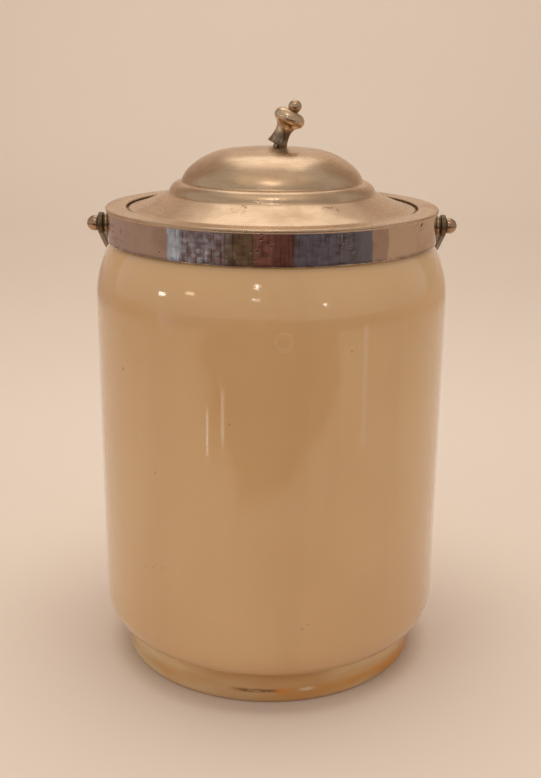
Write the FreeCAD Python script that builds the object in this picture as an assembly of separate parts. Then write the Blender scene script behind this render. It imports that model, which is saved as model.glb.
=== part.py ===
import FreeCAD
import Part
import math
import os

# Biscuit jar with a metal collar, a loose lid and a swing handle.
#
# Millimetres, +Z up. The origin is on the jar's own axis, at the underside
# of the foot. +X is to the right as the jar is seen from the front and +Y
# points to the back, where the swing handle rests against the jar.

V = FreeCAD.Vector
UP = V(0, 0, 1)
RIGHT = V(1, 0, 0)
ORIGIN = V(0, 0, 0)

# Opal glass body
jar_radius = 63.8
jar_draft = 0.1
wall_height = 128.0
wall_thickness = 3.8
base_thickness = 5.0
base_corner = 13.3
shoulder_inset = 5.8
shoulder_rise = 20.0
neck_inset = 1.4
neck_height = 6.7
lip_round = 1.5

# Clear amber foot ring, fused to the body's underside
foot_height = 10.0
foot_inset = 7.9
foot_width = 9.0
foot_lap = 1.35
foot_edge = 1.8
foot_inner_edge = 0.9

# Metal collar, set on the glass in plaster
collar_height = 10.8
band_thickness = 1.0
band_stand_off = 0.2
rim_thickness = 1.2
rim_overhang = 0.4
rim_width = 7.3
rim_round = 0.9
mouth_round = 0.27
seat_depth = 1.6
seat_width = 2.4
flange_depth = 8.0
flange_thickness = 0.8
plaster_recess = 0.6

# Lid, spun from sheet, with a locating ring soldered inside
lid_gap = 1.0
lid_sheet = 1.0
lid_flat = 1.2
brim_width = 13.1
brim_rise = 5.5
brim_sag = 2.0
bead_width = 4.4
bead_rise = 3.7
dome_foot_in = 3.0
dome_foot_rise = 4.7
dome_side_in = 13.6
dome_side_rise = 6.3
dome_crown_rise = 1.0
bezel_gap = 0.3
bezel_depth = 5.0
bezel_thickness = 0.9
solder_gap = 0.02

# Finial: a hollow waisted knob on a bent screw with a ball head
finial_lean = 25.4
finial_offset = 0.8
screw_radius = 1.1
screw_play = 0.05
bend_below_crown = 0.8
bend_radius = 2.0
lid_hole_play = 0.9
knob_skirt_radius = 3.75
knob_skirt_wall = 0.6
knob_hollow_depth = 5.0
knob_waist_in = 0.9
knob_waist_rise = 4.9
knob_flank_out = 1.75
knob_flank_rise = 3.1
knob_bulb_out = 0.95
knob_bulb_rise = 2.6
knob_cap_in = 3.6
knob_cap_rise = 2.05
knob_sink = 0.72
knob_seat_play = 0.05
ball_neck_radius = 1.35
ball_rise = 1.65
ball_radius = 2.35
nut_flats = 5.5
nut_height = 2.4
screw_end = 1.0
washer_radius = 4.5
washer_thickness = 0.8

# Swing handle and its pivots
boss_radius = 3.6
boss_height = 1.1
pivot_drop = 5.9
pivot_radius = 1.4
pivot_play = 0.05
thread_play = 0.02
spacer_radius = 3.0
spacer_thickness = 0.5
spacer_play = 0.15
head_play = 0.25
head_radius = 2.8
head_flat_from_centre = 1.2
pin_in_head = 1.4
strap_thickness = 1.8
strap_width = 8.0
strap_edge_round = 0.35
handle_droop = 27.0
handle_rest_gap = 0.3

# How far a cutting shape stands past what it cuts, and how close two places
# are that count as the same
cut_margin = 5.0
same_place = 0.01

# Radii and heights worked out from the sizes above
shoulder_radius = jar_radius - shoulder_inset
neck_radius = shoulder_radius - neck_inset
band_inner = shoulder_radius + band_stand_off
band_outer = band_inner + band_thickness
rim_outer = band_outer + rim_overhang
mouth_radius = rim_outer - rim_width
flange_inner = mouth_radius - seat_width
glass_bottom = foot_height
wall_top = glass_bottom + wall_height
collar_bottom = wall_top + shoulder_rise
rim_bottom = collar_bottom + collar_height
rim_top = rim_bottom + rim_thickness
seat_height = rim_top - seat_depth
lid_radius = mouth_radius - lid_gap
pivot_height = rim_bottom - pivot_drop
brim_foot = seat_height + lid_sheet
bead_foot = brim_foot + brim_rise
groove_height = bead_foot + bead_rise
crown_height = groove_height + dome_foot_rise + dome_side_rise + dome_crown_rise
knob_height = knob_waist_rise + knob_flank_rise + knob_bulb_rise + knob_cap_rise


def arc_from(start, tangent, end):
    """The arc that leaves start along tangent and ends at end, and its
    direction there. Points are (radius, height) pairs."""
    chord = (end[0] - start[0], end[1] - start[1])
    length = math.hypot(*chord)
    side = (tangent[0] * chord[1] - tangent[1] * chord[0]) / length
    along = (tangent[0] * chord[0] + tangent[1] * chord[1]) / length
    turn = math.atan2(side, along)
    sagitta = length / 2 * math.tan(turn / 2)
    middle = ((start[0] + end[0]) / 2 + chord[1] / length * sagitta,
              (start[1] + end[1]) / 2 - chord[0] / length * sagitta)
    out = 2 * turn
    leaving = (tangent[0] * math.cos(out) - tangent[1] * math.sin(out),
               tangent[0] * math.sin(out) + tangent[1] * math.cos(out))
    return Part.Arc(xz(start), xz(middle), xz(end)).toShape(), leaving


def xz(point):
    """A point of a half section, as a place in the X-Z plane."""
    return V(point[0], 0, point[1])


def line(start, end):
    """A straight edge of a half section."""
    return Part.LineSegment(xz(start), xz(end)).toShape()


def lines(*points):
    """Straight edges from each point of a half section to the next."""
    return [line(a, b) for a, b in zip(points, points[1:])]


def turned(edges):
    """A closed half section turned about the jar's axis."""
    face = Part.Face(Part.Wire(edges))
    return face.revolve(ORIGIN, UP, 360)


def ring(inner, outer, low, high):
    """A plain ring about the jar's axis."""
    corners = ((inner, low), (outer, low), (outer, high), (inner, high), (inner, low))
    return turned(lines(*corners))


def rod(radius, start, direction, length):
    """A plain round bar."""
    return Part.makeCylinder(radius, length, start, direction)


def round_edges(shape, radius, picked):
    """Rounds the edges that the function picked says yes to."""
    edges = [edge for edge in shape.Edges if picked(edge)]
    return shape.makeFillet(radius, edges)


def circle_at(edge, radius, height):
    """Whether an edge is the circle of this radius at this height."""
    box = edge.BoundBox
    level = abs(box.ZMin - height) < same_place and abs(box.ZMax - height) < same_place
    return level and abs(box.XMax - radius) < same_place


def glass_section(offset, bottom, corner, top):
    """The glass's outline from the axis at the bottom to the neck's top,
    moved inwards by offset: flat base, round corner, side wall with a slight
    draft, round shoulder and straight neck."""
    low_radius = jar_radius - jar_draft - offset
    high_radius = jar_radius - offset
    corner_end = (low_radius, bottom + corner)
    corner_start = (low_radius - corner, bottom)
    base_curve, _ = arc_from(corner_start, (1, 0), corner_end)
    shoulder_start = (high_radius, wall_top)
    at_collar = (shoulder_radius - offset, collar_bottom)
    shoulder, direction = arc_from(shoulder_start, (0, 1), at_collar)
    neck_low = collar_bottom + neck_inset * abs(direction[1] / direction[0])
    neck_start = (neck_radius - offset, neck_low)
    neck_end = (neck_radius - offset, top)
    edges = [line((0, bottom), corner_start), base_curve]
    edges += [line(corner_end, shoulder_start), shoulder]
    edges += lines(at_collar, neck_start, neck_end, (0, top), (0, bottom))
    return edges


def outer_glass():
    """The jar body as if it were solid glass."""
    return turned(glass_section(0, glass_bottom, base_corner, neck_top()))


def neck_top():
    """The height of the glass lip, hidden inside the collar."""
    return collar_bottom + neck_inset + neck_height


def make_jar_body():
    """Blown opal glass: one wall all round, open at the neck."""
    inner_corner = base_corner - wall_thickness
    above = neck_top() + wall_thickness
    floor = glass_bottom + base_thickness
    hollow = turned(glass_section(wall_thickness, floor, inner_corner, above))
    body = outer_glass().cut(hollow)
    inner = neck_radius - wall_thickness
    lip_height = neck_top()

    def lip(edge):
        return circle_at(edge, neck_radius, lip_height) or circle_at(edge, inner, lip_height)

    return round_edges(body, lip_round, lip)


def make_foot_rim():
    """A ring of amber glass whose top follows the round corner above it."""
    outer = jar_radius - foot_inset
    inner = outer - foot_width
    top = foot_height + foot_lap
    blank = round_edges(ring(inner, outer, 0, top), foot_edge,
                        lambda edge: circle_at(edge, outer, 0))
    blank = round_edges(blank, foot_inner_edge, lambda edge: circle_at(edge, inner, 0))
    return blank.cut(outer_glass())


def make_plaster_bed():
    """Setting plaster between the neck, the band and the collar's rim."""
    bottom = collar_bottom + plaster_recess
    blank = ring(mouth_radius + flange_thickness, band_inner, bottom, rim_bottom)
    return blank.cut(outer_glass())


def make_collar_band():
    """The polished band round the neck, drilled for the pivot screws."""
    return drill_band(ring(band_inner, band_outer, collar_bottom, rim_bottom))


def make_collar_rim():
    """The collar's top: a flat rim, a step for the lid to sit on, and a
    flange that hangs inside the glass mouth. One sheet, turned."""
    sheet = flange_thickness
    edges = lines(
        (rim_outer, rim_bottom), (rim_outer, rim_top), (mouth_radius, rim_top),
        (mouth_radius, seat_height), (flange_inner, seat_height),
        (flange_inner, seat_height - flange_depth),
        (flange_inner + sheet, seat_height - flange_depth),
        (flange_inner + sheet, seat_height - sheet),
        (mouth_radius + sheet, seat_height - sheet),
        (mouth_radius + sheet, rim_bottom), (rim_outer, rim_bottom))
    rim = turned(edges)
    rim = round_edges(rim, rim_round, lambda edge: circle_at(edge, rim_outer, rim_top))
    return round_edges(rim, mouth_round, lambda edge: circle_at(edge, mouth_radius, rim_top))


def pivot_point(side):
    """Where the pivot's axis meets the jar's axis plane, stepped outwards."""
    return lambda out: V(side * (band_outer + out), 0, pivot_height)


def make_boss(side):
    """A round pad soldered to the band, drilled for the pivot screw."""
    at = pivot_point(side)
    outwards = V(side, 0, 0)
    depth = boss_height + cut_margin
    pad = rod(boss_radius, at(-cut_margin), outwards, depth)
    inside = rod(band_outer, V(0, 0, pivot_height - boss_radius), UP, 2 * boss_radius)
    hole = rod(pivot_radius + thread_play, at(-cut_margin), outwards, depth)
    return pad.cut(inside).cut(hole)


def drill_band(band):
    """Holes through the band for the two pivot screws."""
    for side in (-1, 1):
        start = pivot_point(side)(-cut_margin)
        outwards = V(side, 0, 0)
        band = band.cut(rod(pivot_radius + thread_play, start, outwards, 2 * cut_margin))
    return band


def make_spacer(side):
    """The thin washer between the boss and the handle's eye."""
    start = pivot_point(side)(boss_height)
    outwards = V(side, 0, 0)
    disc = rod(spacer_radius, start, outwards, spacer_thickness)
    return disc.cut(rod(pivot_radius + pivot_play, start, outwards, spacer_thickness))


def eye_inner():
    """How far the handle's eye stands out from the band."""
    return boss_height + spacer_thickness + spacer_play


def make_pivot_screw(side):
    """A round-headed pin: its shank passes through the eye into the boss."""
    at = pivot_point(side)
    outwards = V(side, 0, 0)
    head_start = eye_inner() + strap_thickness + head_play
    root = -band_thickness
    shank = rod(pivot_radius, at(root), outwards, head_start - root + pin_in_head)
    ball = Part.makeSphere(head_radius, at(head_start + head_flat_from_centre))
    behind = rod(2 * head_radius, at(head_start - 2 * head_radius), outwards, 2 * head_radius)
    return shank.fuse(ball.cut(behind)).removeSplitter()


def make_bail_handle():
    """A flat metal strap: two straight legs with round eyes, joined by a
    half-circle bow. It lies back until its bow meets the jar's wall."""
    droop = math.radians(handle_droop)
    half_width = strap_width / 2
    arch = band_outer + eye_inner()
    wall = jar_radius + handle_rest_gap
    reach = (wall + half_width * math.sin(droop)) / math.cos(droop)
    leg = reach - arch
    outer = arch + strap_thickness

    def bow(radius):
        ends = V(radius, 0, leg), V(-radius, 0, leg)
        return Part.Arc(ends[0], V(0, 0, leg + radius), ends[1]).toShape()

    section = lines((arch, -half_width), (outer, -half_width), (outer, leg))
    section.append(bow(outer))
    section += lines((-outer, leg), (-outer, -half_width), (-arch, -half_width), (-arch, leg))
    section.append(bow(arch))
    section += lines((arch, leg), (arch, -half_width))
    strap = Part.Face(Part.Wire(section)).extrude(V(0, strap_width, 0))
    strap.translate(V(0, -half_width, 0))
    length = 2 * (outer + cut_margin)
    start = V(-length / 2, 0, 0)
    envelope = rod(half_width, start, RIGHT, length)
    body = Part.makeBox(length, strap_width, reach + strap_width, V(-length / 2, -half_width, 0))
    strap = strap.common(envelope.fuse(body))
    strap = strap.cut(rod(pivot_radius + pivot_play, start, RIGHT, length))
    strap = round_edges(strap.removeSplitter(), strap_edge_round, along_bow)
    strap.rotate(ORIGIN, RIGHT, -(90 + handle_droop))
    strap.translate(V(0, 0, pivot_height))
    return strap


def along_bow(edge):
    """Whether an edge runs along the handle's strap, not round an eye hole."""
    box = edge.BoundBox
    flat = box.YLength < same_place and abs(abs(box.YMin) - strap_width / 2) < same_place
    return flat and box.ZLength > strap_width


def lid_surface():
    """The lid's upper outline, from the axis to its edge: a dome in three
    smooth arcs, a bead, a hollow brim and a flat edge."""
    brim_edge = lid_radius - lid_flat
    bead_edge = brim_edge - brim_width
    dome_edge = bead_edge - bead_width
    groove = (dome_edge, groove_height)
    side = (dome_edge - dome_foot_in, groove_height + dome_foot_rise)
    crown = (side[0] - dome_side_in, side[1] + dome_side_rise)
    top, leaving = arc_from((0, crown_height), (1, 0), crown)
    upper, leaving = arc_from(crown, leaving, side)
    lower, _ = arc_from(side, leaving, groove)
    bead, _ = arc_from(groove, (1, 0), (bead_edge, bead_foot))
    slope = math.atan2(brim_foot - bead_foot, brim_width) - math.radians(brim_sag)
    brim, _ = arc_from((bead_edge, bead_foot), (math.cos(slope), math.sin(slope)),
                       (brim_edge, brim_foot))
    flat = line((brim_edge, brim_foot), (lid_radius, brim_foot))
    return [top, upper, lower, bead, brim, flat]


def sheet_under(radius):
    """The height of the lid sheet's under side at a radius."""
    edges = lid_surface()
    ceiling = Part.Wire(edges).makeOffset2D(-lid_sheet, 0, False, True)
    upright = line((radius, seat_height - lid_sheet), (radius, crown_height))
    _, nearest, _ = ceiling.distToShape(upright)
    return nearest[0][0].z


def make_lid_shell():
    """The lid: sheet metal of one thickness, spun to shape, with the hole
    that its knob's screw passes through."""
    edges = lid_surface()
    sheet = Part.Wire(edges).makeOffset2D(-lid_sheet, 0, True, True)
    shell = sheet.revolve(ORIGIN, UP, 360)
    start = V(finial_offset, 0, crown_height - cut_margin)
    return shell.cut(rod(screw_radius + lid_hole_play, start, UP, 2 * cut_margin))


def make_lid_bezel():
    """The ring soldered under the brim that centres the lid in the mouth."""
    outer = flange_inner - bezel_gap
    inner = outer - bezel_thickness
    low = seat_height - bezel_depth
    outer_top = sheet_under(outer) - solder_gap
    inner_top = sheet_under(inner) - solder_gap
    corners = ((inner, low), (outer, low), (outer, outer_top), (inner, inner_top), (inner, low))
    return turned(lines(*corners))


def on_screw(distance):
    """A point on the leaning part of the finial's axis, from its bend up."""
    lean = math.radians(finial_lean)
    bend = crown_height - bend_below_crown
    return V(finial_offset + distance * math.sin(lean), 0, bend + distance * math.cos(lean))


def knob_foot():
    """How far up the leaning axis the knob starts: the low side of its
    skirt would go a little way into the crown, and is shaped to it."""
    lean = math.radians(finial_lean)
    drop = knob_skirt_radius * math.sin(lean)
    return (bend_below_crown - knob_sink + drop) / math.cos(lean)


def under_crown():
    """The space under the lid's crown, raised by the knob's play."""
    crown = lid_surface()[0]
    edge = crown.valueAt(crown.LastParameter)
    closing = lines((edge.x, edge.z), (edge.x, seat_height), (0, seat_height), (0, crown_height))
    block = turned([crown] + closing)
    block.translate(UP * knob_seat_play)
    return block


def make_finial_body():
    """The knob: a cast spool with an open skirt, a waist and a bulb. The
    low side of the skirt fits the crown that it leans on."""
    waist = (knob_skirt_radius - knob_waist_in, knob_waist_rise)
    flank = (waist[0] + knob_flank_out, waist[1] + knob_flank_rise)
    bulb = (flank[0] + knob_bulb_out, flank[1] + knob_bulb_rise)
    cap = (bulb[0] - knob_cap_in, knob_height)
    skirt, _ = arc_from(waist, (0, -1), (knob_skirt_radius, 0))
    neck, leaving = arc_from(waist, (0, 1), flank)
    side, leaving = arc_from(flank, leaving, bulb)
    top, _ = arc_from(bulb, leaving, cap)
    hole = screw_radius + screw_play
    hollow_foot = (knob_skirt_radius - knob_skirt_wall, 0)
    hollow_top = (hole, knob_hollow_depth)
    edges = [skirt, neck, side, top]
    edges += lines(cap, (hole, knob_height), hollow_top, hollow_foot, (knob_skirt_radius, 0))
    knob = turned(edges)
    knob.rotate(ORIGIN, V(0, 1, 0), finial_lean)
    knob.translate(on_screw(knob_foot()))
    return knob.cut(under_crown())


def make_finial_screw():
    """The bent screw: a straight end in the nut, one bend, a leaning shank
    and a ball head on a short neck."""
    lean = math.radians(finial_lean)
    bend_start = crown_height - bend_below_crown - bend_radius * math.tan(lean / 2)
    low = nut_bottom() - screw_end
    straight = rod(screw_radius, V(finial_offset, 0, low), UP, bend_start - low)
    circle = Part.makeCircle(screw_radius, V(finial_offset, 0, bend_start), UP)
    turning_point = V(finial_offset + bend_radius, 0, bend_start)
    bend = Part.Face(Part.Wire(circle)).revolve(turning_point, V(0, 1, 0), finial_lean)
    leaning = V(math.sin(lean), 0, math.cos(lean))
    first = bend_radius * math.tan(lean / 2)
    neck_at = knob_foot() + knob_height
    ball_at = neck_at + ball_rise
    shank = rod(screw_radius, on_screw(first), leaning, ball_at - first)
    neck = rod(ball_neck_radius, on_screw(neck_at), leaning, ball_rise)
    ball = Part.makeSphere(ball_radius, on_screw(ball_at))
    clear = rod(2 * ball_radius, on_screw(neck_at - 2 * ball_radius), leaning, 2 * ball_radius)
    return straight.fuse([bend, shank, neck, ball.cut(clear)]).removeSplitter()


def washer_top():
    """The washer lies flat, so its edge meets the domed sheet first."""
    return sheet_under(finial_offset + washer_radius) - solder_gap


def nut_bottom():
    """The under side of the nut inside the lid."""
    return washer_top() - washer_thickness - nut_height


def make_finial_washer():
    """The plain washer under the crown."""
    start = V(finial_offset, 0, washer_top() - washer_thickness)
    disc = rod(washer_radius, start, UP, washer_thickness)
    return disc.cut(rod(screw_radius + screw_play, start, UP, washer_thickness))


def make_finial_nut():
    """The hexagon nut that pulls the knob's screw down."""
    corner = nut_flats / math.sqrt(3)
    centre = V(finial_offset, 0, nut_bottom())
    turns = [math.radians(60 * i) for i in range(7)]
    points = [centre + V(math.cos(t), math.sin(t), 0) * corner for t in turns]
    blank = Part.Face(Part.makePolygon(points)).extrude(UP * nut_height)
    return blank.cut(rod(screw_radius + thread_play, centre, UP, nut_height))


NODES = {
    "jar_body": make_jar_body,
    "foot_rim": make_foot_rim,
    "plaster_bed": make_plaster_bed,
    "collar_band": make_collar_band,
    "collar_rim": make_collar_rim,
    "boss_left": lambda: make_boss(-1),
    "boss_right": lambda: make_boss(1),
    "pivot_screw_left": lambda: make_pivot_screw(-1),
    "pivot_screw_right": lambda: make_pivot_screw(1),
    "washer_left": lambda: make_spacer(-1),
    "washer_right": lambda: make_spacer(1),
    "bail_handle": make_bail_handle,
    "lid_shell": make_lid_shell,
    "lid_bezel": make_lid_bezel,
    "finial_body": make_finial_body,
    "finial_screw": make_finial_screw,
    "finial_washer": make_finial_washer,
    "finial_nut": make_finial_nut,
}

os.makedirs("parts", exist_ok=True)
for node, make in NODES.items():
    shape = make()
    shape.exportStep(f"parts/{node}.step")
    print(node, len(shape.Solids), "solid", round(shape.Volume, 1), "mm3")
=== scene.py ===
# %% [markdown]
# # A biscuit jar with a metal collar, lid and swing handle
#
# Nearly every piece of this jar is round. Jars of this kind were blown in a
# mould, and their collars and lids were spun over a former on a lathe. So
# one Geometry Nodes tree does most of the modelling here: it takes half a
# section, drawn as a line, and turns it round the jar's axis. What remains
# is the strap handle, which is a bent flat bar, and the finishes.
#
# Blender works in metres. The outlines are written in millimetres, because
# that is how a maker would measure them, and are scaled once, in one place.

# %% Load the frame
import math

import bpy
import numpy as np
from mathutils import Matrix, Vector


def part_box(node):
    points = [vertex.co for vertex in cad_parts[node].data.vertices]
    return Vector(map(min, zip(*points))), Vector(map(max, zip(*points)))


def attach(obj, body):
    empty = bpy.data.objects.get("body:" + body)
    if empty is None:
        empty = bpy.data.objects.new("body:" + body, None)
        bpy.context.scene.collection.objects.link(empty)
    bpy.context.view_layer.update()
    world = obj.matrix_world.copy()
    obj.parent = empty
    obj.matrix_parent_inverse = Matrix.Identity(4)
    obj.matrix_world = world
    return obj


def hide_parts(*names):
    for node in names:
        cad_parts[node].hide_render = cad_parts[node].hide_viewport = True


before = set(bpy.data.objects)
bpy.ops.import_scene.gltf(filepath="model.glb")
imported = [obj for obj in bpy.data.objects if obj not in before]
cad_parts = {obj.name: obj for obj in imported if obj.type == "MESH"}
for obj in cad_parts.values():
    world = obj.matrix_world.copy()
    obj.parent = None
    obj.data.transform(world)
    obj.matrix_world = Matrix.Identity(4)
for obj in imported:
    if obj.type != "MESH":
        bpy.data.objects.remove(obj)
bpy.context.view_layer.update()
MM = 0.001


def span(node):
    """A node's lowest and highest corner, in millimetres."""
    low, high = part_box(node)
    return low / MM, high / MM


# %% [markdown]
# ## The camera
#
# The picture was taken from a little above the lid, about 40 cm away, looking
# down by 17 degrees. A long side of 36 mm and a 50 mm lens give the same
# spread of view as the picture has, so the round rims come out as the same
# flat ovals. The distance goes with the size that the jar is taken to have.
# In the picture the collar leans a little against the glass, and half a
# degree of roll shares the difference. The camera is made first, because
# everything is judged by it.

# %% Camera
CAMERA_DISTANCE = 397.0
CAMERA_HEIGHT = 221.4
CAMERA_PITCH = 16.94
CAMERA_ROLL = 0.5
PICTURE_HEIGHT = 778
LENS_IN_PIXELS = 1094.0
FILM_HEIGHT = 36.0

scene = bpy.context.scene
camera_data = bpy.data.cameras.new("camera")
camera_data.sensor_fit = "VERTICAL"
camera_data.sensor_height = FILM_HEIGHT
camera_data.lens = LENS_IN_PIXELS / PICTURE_HEIGHT * FILM_HEIGHT
camera = bpy.data.objects.new("camera", camera_data)
aim = Matrix.Rotation(math.radians(90 - CAMERA_PITCH), 4, "X")
aim = aim @ Matrix.Rotation(math.radians(CAMERA_ROLL), 4, "Z")
camera.matrix_world = Matrix.Translation((0, -CAMERA_DISTANCE * MM, CAMERA_HEIGHT * MM)) @ aim
scene.collection.objects.link(camera)
scene.camera = camera
scene.view_settings.view_transform = "Standard"
print("camera", [round(c, 3) for c in camera.matrix_world.translation], "lens", camera_data.lens)

# %% [markdown]
# ## Turning a half section
#
# Blender has a Screw modifier and a Spin operator, and either could turn a
# line. A Geometry Nodes tree is used instead, because it keeps the number of
# steps and the finish as named inputs and can be used again for each piece.
#
# The tree lays down a plain grid with one column for each step round the
# axis, one more to close the ring, and one row for each point of the
# outline. It then moves every grid point: the outline's point gives the
# radius and the height, and the column gives the angle. Merging by distance
# closes the seam, and also the poles, where a whole row of points has come
# together on the axis.

# %% A tree to add nodes to
def new_tree(name):
    """An empty Geometry Nodes tree, and a function that adds a node to it."""
    tree = bpy.data.node_groups.new(name, "GeometryNodeTree")

    def add(kind, inputs=None, **settings):
        node = tree.nodes.new(kind)
        for key, value in settings.items():
            setattr(node, key, value)
        for key, value in (inputs or {}).items():
            if isinstance(value, bpy.types.NodeSocket):
                tree.links.new(value, node.inputs[key])
            else:
                node.inputs[key].default_value = value
        return node

    return tree, add


# %% The turning tree
MERGE_DISTANCE = 1e-7


def make_turning_tree():
    """Turns the outline that it is given round the Z axis."""
    tree, add = new_tree("turning")
    interface = tree.interface
    interface.new_socket("Outline", in_out="INPUT", socket_type="NodeSocketGeometry")
    steps = interface.new_socket("Steps", in_out="INPUT", socket_type="NodeSocketInt")
    steps.default_value = 96
    interface.new_socket("Finish", in_out="INPUT", socket_type="NodeSocketMaterial")
    interface.new_socket("Turned", in_out="OUTPUT", socket_type="NodeSocketGeometry")
    given = add("NodeGroupInput")
    outline, steps_in = given.outputs["Outline"], given.outputs["Steps"]

    def maths(operation, first, second):
        node = add("ShaderNodeMath", {0: first, 1: second}, operation=operation)
        return node.outputs[0]

    size = add("GeometryNodeAttributeDomainSize", {"Geometry": outline}, component="MESH")
    rows = size.outputs["Point Count"]
    columns = maths("ADD", steps_in, 1.0)
    grid = add("GeometryNodeMeshGrid", {"Vertices X": columns, "Vertices Y": rows})
    index = add("GeometryNodeInputIndex").outputs["Index"]
    column = maths("FLOOR", maths("DIVIDE", maths("ADD", index, 0.5), rows), 0.0)
    row = maths("SUBTRACT", index, maths("MULTIPLY", column, rows))
    place = add("GeometryNodeInputPosition").outputs["Position"]
    point = add("GeometryNodeSampleIndex", {"Geometry": outline, "Index": row},
                data_type="FLOAT_VECTOR", domain="POINT")
    tree.links.new(place, point.inputs["Value"])
    parts = add("ShaderNodeSeparateXYZ", {0: point.outputs[0]})
    turn = maths("MULTIPLY", maths("DIVIDE", column, steps_in), 2 * math.pi)
    across = maths("MULTIPLY", parts.outputs["X"], maths("COSINE", turn, 0.0))
    along = maths("MULTIPLY", parts.outputs["X"], maths("SINE", turn, 0.0))
    spot = add("ShaderNodeCombineXYZ", {"X": across, "Y": along, "Z": parts.outputs["Z"]})
    moved = add("GeometryNodeSetPosition",
                {"Geometry": grid.outputs["Mesh"], "Position": spot.outputs[0]})
    merged = add("GeometryNodeMergeByDistance",
                 {"Geometry": moved.outputs[0], "Distance": MERGE_DISTANCE})
    smooth = add("GeometryNodeSetShadeSmooth", {"Geometry": merged.outputs[0]})
    real = add("GeometryNodeRealizeInstances", {"Geometry": smooth.outputs[0]})
    finished = add("GeometryNodeSetMaterial",
                   {"Geometry": real.outputs[0], "Material": given.outputs["Finish"]})
    add("NodeGroupOutput", {"Turned": finished.outputs[0]})
    return tree


TURNING = make_turning_tree()
print("turning tree", len(TURNING.nodes), "nodes")


# %% [markdown]
# ## From an outline to a finished mesh
#
# A modifier's inputs are set by the socket's identifier. The result is read
# from the evaluated object as a plain mesh, and the helper object is thrown
# away, so what goes on is an ordinary mesh at the origin. A signed volume
# tells whether the faces point outwards, and if not they are turned over.

# %% Turned meshes
def set_input(modifier, name, value):
    """Sets a Geometry Nodes input by its name."""
    for item in modifier.node_group.interface.items_tree:
        if item.item_type == "SOCKET" and item.in_out == "INPUT" and item.name == name:
            modifier[item.identifier] = value


def signed_volume(mesh):
    """Positive where a closed mesh's faces point outwards."""
    mesh.calc_loop_triangles()
    points = np.array([v.co for v in mesh.vertices])
    corners = points[np.array([t.vertices for t in mesh.loop_triangles])]
    return float(np.einsum("ij,ij->", corners[:, 0], np.cross(corners[:, 1], corners[:, 2]))) / 6


def turned_mesh(name, outline, finish, steps=96):
    """A closed mesh, turned from an outline of (radius, height) in mm."""
    points = [(r * MM, 0, z * MM) for r, z in outline]
    line = bpy.data.meshes.new(name)
    line.from_pydata(points, [(i, i + 1) for i in range(len(points) - 1)], [])
    helper = bpy.data.objects.new(name, line)
    scene.collection.objects.link(helper)
    modifier = helper.modifiers.new("turning", "NODES")
    modifier.node_group = TURNING
    set_input(modifier, "Steps", steps)
    set_input(modifier, "Finish", finish)
    ready = helper.evaluated_get(bpy.context.evaluated_depsgraph_get())
    mesh = bpy.data.meshes.new_from_object(ready)
    bpy.data.objects.remove(helper)
    if signed_volume(mesh) < 0:
        mesh.flip_normals()
    return mesh


def piece(name, mesh, body, slot, *nodes):
    """Makes a mesh a piece of the jar: it rides on a body and stands for CAD nodes. slot is not
    used."""
    mesh.name = name
    made = bpy.data.objects.new(name, mesh)
    scene.collection.objects.link(made)
    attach(made, body)
    if nodes:
        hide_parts(*nodes)
    print(name, len(mesh.polygons), "faces")
    return made


# %% [markdown]
# ## Drawing outlines
#
# An outline is a few corner points, each with its own rounding. Two things
# make a turned piece look real. Most edges are rounded, some by only a tenth
# of a millimetre, because a rounded edge catches a thin line of light. And a
# flat stretch gets a spare point just inside each end, so that the smooth
# shading of the round edge doesn't creep across the flat.

# %% Arcs
def turned_by(heading, angle):
    """A direction turned by an angle, anticlockwise."""
    return (heading[0] * math.cos(angle) - heading[1] * math.sin(angle),
            heading[0] * math.sin(angle) + heading[1] * math.cos(angle))


def arc_to(start, heading, end, pieces=14):
    """Points of the arc that leaves start along heading and ends at end, and
    the heading there."""
    chord = (end[0] - start[0], end[1] - start[1])
    length = math.hypot(*chord)
    side = (heading[0] * chord[1] - heading[1] * chord[0]) / length
    along = (heading[0] * chord[0] + heading[1] * chord[1]) / length
    half = math.atan2(side, along)
    points = []
    for i in range(1, pieces + 1):
        part = half * i / pieces
        share = math.sin(part) / math.sin(half) if abs(half) > 1e-6 else i / pieces
        across, up = turned_by(heading, part)
        points.append((start[0] + length * share * across, start[1] + length * share * up))
    return points, turned_by(heading, 2 * half)


print("a quarter circle is drawn with", len(arc_to((1, 0), (0, 1), (0, 1))[0]), "short lines")


# %% Rounded corners
EDGE_GUARD = 0.3


def guarded(points):
    """Adds a spare point near each end of every long straight stretch."""
    result = [points[0]]
    for a, b in zip(points, points[1:]):
        length = math.hypot(b[0] - a[0], b[1] - a[1])
        if length > 4 * EDGE_GUARD:
            for share in (EDGE_GUARD / length, 1 - EDGE_GUARD / length):
                result.append((a[0] + (b[0] - a[0]) * share, a[1] + (b[1] - a[1]) * share))
        result.append(b)
    return result


def rounded(corners, closed=True, pieces=6):
    """An outline through (radius, height, rounding) corners."""
    points = []
    count = len(corners)
    for i, (r, z, rounding) in enumerate(corners):
        here = Vector((r, z))
        ends = not closed and i in (0, count - 1)
        if rounding <= 0 or ends:
            points.append((r, z))
            continue
        before = Vector(corners[i - 1][:2]) - here
        after = Vector(corners[(i + 1) % count][:2]) - here
        half = before.angle(after) / 2
        cut = min(rounding / math.tan(half), before.length * 0.49, after.length * 0.49)
        start = here + before.normalized() * cut
        end = here + after.normalized() * cut
        heading = -before.normalized()
        points.append(tuple(start))
        points += arc_to(tuple(start), tuple(heading), tuple(end), pieces)[0]
    if closed:
        points.append(points[0])
    return guarded(points)


trial = rounded([(1, 0, 0.2), (1, 2, 0.2), (3, 2, 0.2), (3, 0, 0.2)])
print("a 2 mm square with rounded corners has", len(trial), "points")


# %% [markdown]
# ## Shader maths in plain Python
#
# A finish is mostly arithmetic: a mask times a strength, plus some noise.
# One small class wraps a node's output and gives it the usual signs, so that
# an expression such as `wear * 0.4 + 0.1` builds its Math nodes by itself.

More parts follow.
